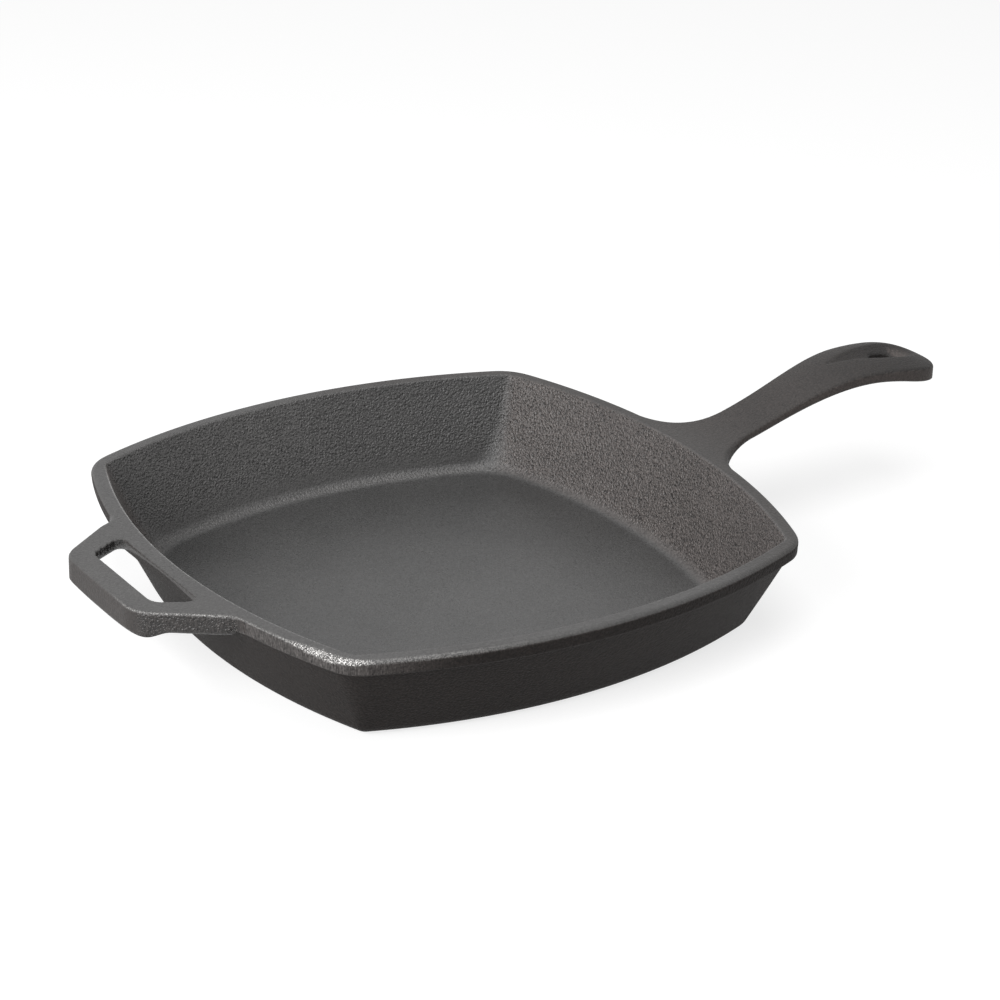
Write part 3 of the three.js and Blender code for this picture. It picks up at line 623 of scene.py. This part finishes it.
def skin_masks(p, normals):
    """Finish of the casting at points of its skin, with painted shade and highlights in its tone, and where
    its edges are worn and streaked.
    """
    x, y, z = p.T
    up = normals[:, 2]
    within = smoothstep(-np.abs(bowl_inside(x, y, z)), *INSIDE_SKIN)
    outside = 1 - within
    floor = within * smoothstep(up, *FLOOR_UP)
    fillet = within * smoothstep(up, *FILLET_UP) - floor
    wall = within - floor - fillet
    top = outside * smoothstep(z - top_height(x, y), *TOP_DEPTH) * smoothstep(up, *TOP_UP)
    side = outside - top
    streaked_and_lit = outside * grinder_streaks(x, y, z, up)

    on_handle = smoothstep(x, *HANDLE_SPAN)[:, None]
    far = smoothstep(x + FAR_TOP_SLANT * y, *FAR_TOP_SPAN)[:, None]
    to_tip = smoothstep(x, *PADDLE_SPAN)[:, None]
    facing_out = smoothstep(-normals[:, 0], *HELPER_FACING_OUT)[:, None]
    shank_top = lerp(HANDLE_TOP_FINISH, TIP_FINISH, to_tip)
    upper = lerp(lerp(TOP_FINISH, FAR_TOP_FINISH, far), shank_top, on_handle)
    flank = lerp(lerp(SIDE_FINISH, HANDLE_SIDE_LIT_FINISH, on_handle), STREAKED_BAND_LIT_FINISH, streaked_and_lit[:, None])
    helper_flank = lerp(HELPER_SIDE_FINISH, HELPER_FACE_FINISH, facing_out)
    flank = lerp(flank, helper_flank, helper_share(x, y)[:, None])
    finish = floor[:, None] * FLOOR_FINISH + fillet[:, None] * FILLET_FINISH + wall[:, None] * WALL_FINISH
    finish += top[:, None] * upper + side[:, None] * flank
    tone, rough, pebbled, ground = finish.T

    left = smoothstep(y - np.abs(x), *LEFT_SIDE)
    left_wall = wall * left
    ground = ground + LEFT_GROUND * left_wall + LEFT_FILLET_GROUND * fillet * left
    # Painted shade on the wall left of the long handle, darker towards its far end
    tone = tone * (1 - left_wall * (LEFT_PAINTED_SHADE + LEFT_FAR_PAINTED_SHADE * smoothstep(x, *LEFT_FAR_SPAN)))
    pebbled = pebbled * (1 - left_wall * (LEFT_SMOOTHING + LEFT_FOOT_SMOOTHING * smoothstep(-z, *LEFT_FOOT)))
    pebbled = pebbled + SCAR_PEBBLES * casting_scar(x, y, z)

    # Painted shade on the sides inside the hanging hole
    tone = tone * (1 - HOLE_PAINTED_SHADE * smoothstep(-hole_distance(x, y), *HOLE_PAINTED_SHADE_FADE))
    # Painted highlight on the dish's far slope, where it faces the left light
    painted_glint = smoothstep(-dish_share(x, y), *GLINT_SHARE) * smoothstep(x, *GLINT_SPAN)
    tone = tone + GLINT_TONE * painted_glint * top
    # Painted shade on the sides inside the finger opening
    opening_shade = smoothstep(-finger_opening(x, y, z), *OPENING_PAINTED_SHADE_FADE)
    opening_shade *= smoothstep(-x, *OPENING_PAINTED_SHADE_FROM)
    tone = tone * (1 - OPENING_PAINTED_SHADE * opening_shade * side)

    # Painted highlight along the rim's inner edge on the left, lighter and greyer
    inner_highlight = on_edge(z, up, INNER_EDGE) * (rim_middle(x, y) < 0)
    inner_highlight *= smoothstep(-x - np.abs(y), *INNER_HIGHLIGHT_SIDE)
    tone = tone + INNER_HIGHLIGHT_TONE * inner_highlight
    ground = np.maximum(ground, inner_highlight)
    worn = outside * worn_edges(x, y, z, up)
    return dict(zip((*FINISH, *WEAR), (tone, rough, pebbled, ground, worn, streaked_and_lit)))


def finish_mesh(mesh):
    """Normals and finish from the field, so that both run across the planes between the regions."""
    count = len(mesh.vertices)
    places = np.empty(count * 3)
    mesh.vertices.foreach_get("co", places)
    places = places.reshape(-1, 3) / MM
    normals = gradient(places)
    normals /= np.linalg.norm(normals, axis=1)[:, None]
    corner = np.empty(len(mesh.loops), np.int32)
    mesh.loops.foreach_get("vertex_index", corner)
    loop_normals = normals[corner]
    flags = np.empty(len(mesh.polygons), np.int32)
    mesh.attributes["cap"].data.foreach_get("value", flags)
    totals = np.empty(len(flags), np.int32)
    mesh.polygons.foreach_get("loop_total", totals)
    flat = np.empty(len(flags) * 3)
    mesh.polygons.foreach_get("normal", flat)
    on_cap = np.repeat(flags == 1, totals)
    loop_normals[on_cap] = np.repeat(flat.reshape(-1, 3), totals, axis=0)[on_cap]
    mesh.attributes.remove(mesh.attributes["cap"])
    for name, values in skin_masks(places, normals).items():
        mask = mesh.attributes.new(name, "FLOAT", "POINT")
        mask.data.foreach_set("value", values.astype(np.float32))
    mesh.polygons.foreach_set("use_smooth", np.ones(len(flags), bool))
    mesh.normals_split_custom_set(loop_normals.tolist())


WIDE = RIM_HALF_WIDTH + MESH_MARGIN
pieces = {
    "floor_casting": cast_piece(
        "floor_casting", "pan_floor", (-WIDE, -WIDE, -MESH_MARGIN), (WIDE, WIDE, FOOT_PLANE + MESH_MARGIN),
        FLOOR_STEP, [(2, FOOT_PLANE, 1)]),
    "wall_casting": cast_piece(
        "wall_casting", "side_wall", (-WIDE, -WIDE, FOOT_PLANE - MESH_MARGIN),
        (WIDE, WIDE, RIM_PLANE + MESH_MARGIN), WALL_STEP, [(2, FOOT_PLANE, -1), (2, RIM_PLANE, 1)]),
    "rim_casting": cast_piece(
        "rim_casting", "rim", (-ROOT_PLANE - MESH_MARGIN, -WIDE, RIM_PLANE - MESH_MARGIN),
        (ROOT_PLANE + MESH_MARGIN, WIDE, HEIGHT + MESH_MARGIN),
        RIM_STEP, [(2, RIM_PLANE, -1), (0, ROOT_PLANE, 1), (0, -ROOT_PLANE, -1)]),
    "long_handle_casting": cast_piece(
        "long_handle_casting", "long_handle", (ROOT_PLANE - MESH_MARGIN, -HANDLE_ROOM, RIM_PLANE),
        (HANDLE_TIP + MESH_MARGIN, HANDLE_ROOM, HEIGHT + HANDLE_CREST_RISE + HANDLE_CROWN + MESH_MARGIN),
        HANDLE_STEP, [(0, ROOT_PLANE, -1)]),
    "helper_handle_casting": cast_piece(
        "helper_handle_casting", "helper_handle",
        (HELPER_OUTER - MESH_MARGIN, -HELPER_ROOM, RIM_PLANE - MESH_MARGIN),
        (-ROOT_PLANE + MESH_MARGIN, HELPER_ROOM, HEIGHT + MESH_MARGIN),
        HANDLE_STEP, [(0, -ROOT_PLANE, 1)]),
}


class Nodes:
    """Short way to add and link shader nodes."""

    def __init__(self, tree):
        self.tree = tree
        tree.nodes.clear()

    def add(self, kind, inputs=None, **settings):
        node = self.tree.nodes.new(kind)
        for key, value in settings.items():
            setattr(node, key, value)
        for key, value in (inputs or {}).items():
            self.put(node.inputs[key], value)
        return node

    def put(self, socket, value):
        if isinstance(value, bpy.types.NodeSocket):
            self.tree.links.new(value, socket)
        else:
            socket.default_value = value

    def math(self, operation, a, b=0.0, c=0.0, clamp=False):
        node = self.add("ShaderNodeMath", {0: a, 1: b, 2: c}, operation=operation, use_clamp=clamp)
        return node.outputs[0]

    def tint(self, share, a, b):
        node = self.add("ShaderNodeMix", {"Factor": share}, data_type="RGBA")
        self.put(node.inputs[6], a)
        self.put(node.inputs[7], b)
        return node.outputs[2]

    def noise(self, place, scale, detail=2.0, roughness=0.5):
        settings = {"Vector": place, "Scale": scale, "Detail": detail, "Roughness": roughness}
        return self.add("ShaderNodeTexNoise", settings).outputs["Fac"]

    def mask(self, name):
        return self.add("ShaderNodeAttribute", attribute_name=name).outputs["Fac"]


# Grain of the skin: noises per metre, relief in millimetres, painted shade in the pits and painted light on
# the crests by height, and tints
CELL_SCALE = 850.0
CELL_DEPTH = -0.5
PEBBLE_SCALE = 1000.0
GRIT_SCALE = 1500.0
GRAIN_SCALE = 1900.0
MOTTLE_SCALE = 30.0
SCRATCH_SCALE = (2300.0, 2300.0, 45.0)
GRIT_RELIEF = 0.45
GRIT_PAINTED_SHADE = 0.6
MEAN_HEIGHT = 0.52
PEBBLE_RELIEF = 0.65
PEBBLE_PAINTED_SHADE = 2.0
GRAIN_RELIEF = 0.1
GRAIN_PAINTED_SHADE = 0.5
STREAK_RELIEF = 0.1
WORN_RELIEF = 0.3
WARM_TINT = (1.0, 0.84, 0.78, 1.0)
GROUND_TINT = (1.0, 0.985, 0.975, 1.0)
BLACK = (0.0, 0.0, 0.0, 1.0)
BRIGHT_IRON = (0.40, 0.39, 0.38, 1.0)
MOTTLE_SPREAD = 0.5
SCRATCH_SPREAD = 4.0
FLECK_CONTRAST = 6.0
FLECK_LEVEL = -2.6
FLECK_GLOSS = 0.12
FLECK_METAL = 0.6
ROUGHNESS_SPREAD = 0.25
LEAST_TONE = 0.01


def iron_material(name, specular):
    """Seasoned cast iron: pebbled skin with painted shade in its pits, finer where it was ground, bright
    where the edge is worn.
    """
    material = bpy.data.materials.new(name)
    material.use_nodes = True
    n = Nodes(material.node_tree)
    place = n.add("ShaderNodeTexCoord").outputs["Object"]
    tone, rough, pebbled, ground = (n.mask(mask) for mask in FINISH)
    worn, streaked_and_lit = (n.mask(mask) for mask in WEAR)
    cells = n.add("ShaderNodeTexVoronoi", {"Vector": place, "Scale": CELL_SCALE}).outputs["Distance"]
    pebbles = n.math("MULTIPLY_ADD", cells, CELL_DEPTH, n.noise(place, PEBBLE_SCALE, detail=1.0))
    grit = n.noise(place, GRIT_SCALE, detail=0.0)
    grain = n.noise(place, GRAIN_SCALE, detail=0.0)
    mottle = n.noise(place, MOTTLE_SCALE, detail=3.0, roughness=0.55)
    upright = n.add("ShaderNodeMapping", {"Vector": place, "Scale": SCRATCH_SCALE}).outputs[0]
    scratches = n.noise(upright, 1.0, roughness=0.6)
    relief = n.math("MULTIPLY_ADD", grit, GRIT_RELIEF, pebbles)
    relief = n.math("MULTIPLY", relief, n.math("MULTIPLY", pebbled, PEBBLE_RELIEF))
    relief = n.math("MULTIPLY_ADD", grain, GRAIN_RELIEF, relief)
    relief = n.math("MULTIPLY_ADD", n.math("MULTIPLY", scratches, streaked_and_lit), STREAK_RELIEF, relief)
    relief = n.math("MULTIPLY_ADD", n.math("MULTIPLY", grit, worn), WORN_RELIEF, relief)
    bump = n.add("ShaderNodeBump", {"Strength": 1.0, "Distance": MM, "Height": relief}).outputs[0]
    tone = n.math("MULTIPLY", tone, n.math("MULTIPLY_ADD", mottle, MOTTLE_SPREAD, 1 - MOTTLE_SPREAD / 2))
    # Painted shade in the pits and painted light on the crests of the pebbles, put into the tone
    pit_shade_and_crest_light = n.math("SUBTRACT", n.math("MULTIPLY_ADD", grit, GRIT_PAINTED_SHADE, pebbles), MEAN_HEIGHT)
    pit_shade_and_crest_light = n.math("MULTIPLY", pit_shade_and_crest_light, n.math("MULTIPLY_ADD", pebbled, PEBBLE_PAINTED_SHADE, GRAIN_PAINTED_SHADE))
    tone = n.math("MULTIPLY", tone, n.math("ADD", pit_shade_and_crest_light, 1.0))
    scored = n.math("MULTIPLY_ADD", scratches, SCRATCH_SPREAD, -SCRATCH_SPREAD / 2)
    scored = n.math("MULTIPLY", streaked_and_lit, scored)
    tone = n.math("MULTIPLY", tone, n.math("ADD", scored, 1.0))
    tone = n.math("MAXIMUM", tone, LEAST_TONE)
    colour = n.tint(tone, BLACK, n.tint(ground, WARM_TINT, GROUND_TINT))
    flecks = n.math("MULTIPLY_ADD", grain, FLECK_CONTRAST, FLECK_LEVEL, clamp=True)
    flecks = n.math("MULTIPLY", worn, flecks)
    colour = n.tint(flecks, colour, BRIGHT_IRON)
    roughness = n.math("MULTIPLY_ADD", n.math("SUBTRACT", grit, 0.5), ROUGHNESS_SPREAD, rough)
    roughness = n.math("SUBTRACT", roughness, n.math("MULTIPLY", flecks, FLECK_GLOSS))
    shader = n.add("ShaderNodeBsdfPrincipled", {
        "Base Color": colour, "Roughness": roughness, "Normal": bump, "Specular IOR Level": specular,
        "Metallic": n.math("MULTIPLY", flecks, FLECK_METAL)})
    n.add("ShaderNodeOutputMaterial", {"Surface": shader.outputs[0]})
    return material


# Where a face counts as the inside, as a top or as the long handle's side
INSIDE_WITHIN = 0.5
TOP_WITHIN = 3.0
TOP_LEAST_UP = 0.3
HANDLE_LOOK_SPAN = (RIM_HALF_WIDTH - 4.0, HANDLE_NECK)
LOOK_SEED = 1


def dress(piece, looks):
    """First look for inside, tops and helper handle, second for the long handle's sides, third for the rest.

    The second passes into the third face by face.
    """
    for look in looks:
        piece.data.materials.append(look)
    centres = np.empty(len(piece.data.polygons) * 3)
    piece.data.polygons.foreach_get("center", centres)
    x, y, z = centres.reshape(-1, 3).T / MM
    normals = gradient(centres.reshape(-1, 3) / MM)
    up = normals[:, 2] / np.linalg.norm(normals, axis=1)
    inside = np.abs(bowl_inside(x, y, z)) < INSIDE_WITHIN
    top = (up > TOP_LEAST_UP) & (np.abs(z - top_height(x, y)) < TOP_WITHIN)
    first = inside | top | (helper_share(x, y) > 0.5)
    speckle = np.random.default_rng(LOOK_SEED).random(len(x))
    on_handle = speckle < smoothstep(x, *HANDLE_LOOK_SPAN)
    look = np.where(first, 0, np.where(on_handle, 1, 2))
    piece.data.polygons.foreach_set("material_index", look.astype(np.int32))


LOOKS = {"seasoned_iron": 0.5, "handle_iron": 0.32, "sand_cast_iron": 0.15}
iron_looks = [iron_material(name, specular) for name, specular in LOOKS.items()]
for piece in pieces.values():
    dress(piece, iron_looks)


def white_for_eye(n, lit, strength):
    """White to the camera and in reflections, and lit as usual to all else."""
    path = n.add("ShaderNodeLightPath")
    seen = n.math("MAXIMUM", path.outputs["Is Camera Ray"], path.outputs["Is Glossy Ray"])
    seen = n.math("MAXIMUM", seen, path.outputs["Is Transmission Ray"])
    return n.math("MULTIPLY_ADD", seen, strength - lit, lit)


# Stage: pale floor, white surroundings
FLOOR_HALF_SIZE = 4.0
FLOOR_GLOW = 0.76
FLOOR_GREY = 0.34
FLOOR_DROP = 0.0002
floor_mesh = bpy.data.meshes.new("stage_floor")
floor_mesh.from_pydata(
    [(sx * FLOOR_HALF_SIZE, sy * FLOOR_HALF_SIZE, 0) for sx, sy in ((-1, -1), (1, -1), (1, 1), (-1, 1))],
    [], [(0, 1, 2, 3)])
stage_floor = bpy.data.objects.new("stage_floor", floor_mesh)
stage_floor.location.z = -FLOOR_DROP
bpy.context.scene.collection.objects.link(stage_floor)
floor_look = bpy.data.materials.new("pale_floor")
floor_look.use_nodes = True
n = Nodes(floor_look.node_tree)
paper = n.add("ShaderNodeBsdfDiffuse", {"Color": (FLOOR_GREY, FLOOR_GREY, FLOOR_GREY, 1.0)})
glow = n.add("ShaderNodeEmission", {"Color": (1, 1, 1, 1), "Strength": white_for_eye(n, 0.0, FLOOR_GLOW)})
both = n.add("ShaderNodeAddShader", {0: paper.outputs[0], 1: glow.outputs[0]})
n.add("ShaderNodeOutputMaterial", {"Surface": both.outputs[0]})
floor_mesh.materials.append(floor_look)

AMBIENT = 0.2
world = bpy.data.worlds.new("studio")
bpy.context.scene.world = world
world.use_nodes = True
n = Nodes(world.node_tree)
sky = n.add("ShaderNodeBackground", {"Color": (1, 1, 1, 1), "Strength": white_for_eye(n, AMBIENT, 1.0)})
n.add("ShaderNodeOutputWorld", {"Surface": sky.outputs[0]})


def softbox(name, place, target, size, power):
    lamp = bpy.data.lights.new(name, "AREA")
    lamp.shape = "RECTANGLE"
    lamp.size, lamp.size_y = size
    lamp.energy = power
    holder = bpy.data.objects.new(name, lamp)
    holder.location = place
    holder.rotation_euler = (Vector(target) - Vector(place)).to_track_quat("-Z", "Y").to_euler()
    bpy.context.scene.collection.objects.link(holder)


softbox("top_softbox", (-0.1, -0.35, 1.6), (0, 0, 0), (1.2, 1.2), 15.0)
softbox("left_softbox", (-1.46, -0.38, 0.85), (0, 0, 0.03), (1.2, 0.8), 31.0)

# Camera, solved from the rim, floor and base in the photograph
CAMERA_AT = (-0.685582, -1.070139, 0.621255)
CAMERA_RIGHT = (0.836672, -0.547036, 0.027062)
CAMERA_UP = (0.204641, 0.358057, 0.910998)
CAMERA_BACK = (-0.508038, -0.756668, 0.411522)
CAMERA_LENS = 112.146
lens = bpy.data.cameras.new("camera")
lens.sensor_width = 36.0
lens.lens = CAMERA_LENS
lens.clip_end = 50.0
camera = bpy.data.objects.new("camera", lens)
bpy.context.scene.collection.objects.link(camera)
camera_turn = Matrix((CAMERA_RIGHT, CAMERA_UP, CAMERA_BACK)).transposed().to_4x4()
camera.matrix_world = Matrix.Translation(CAMERA_AT) @ camera_turn
bpy.context.scene.camera = camera
bpy.context.scene.view_settings.view_transform = "Standard"
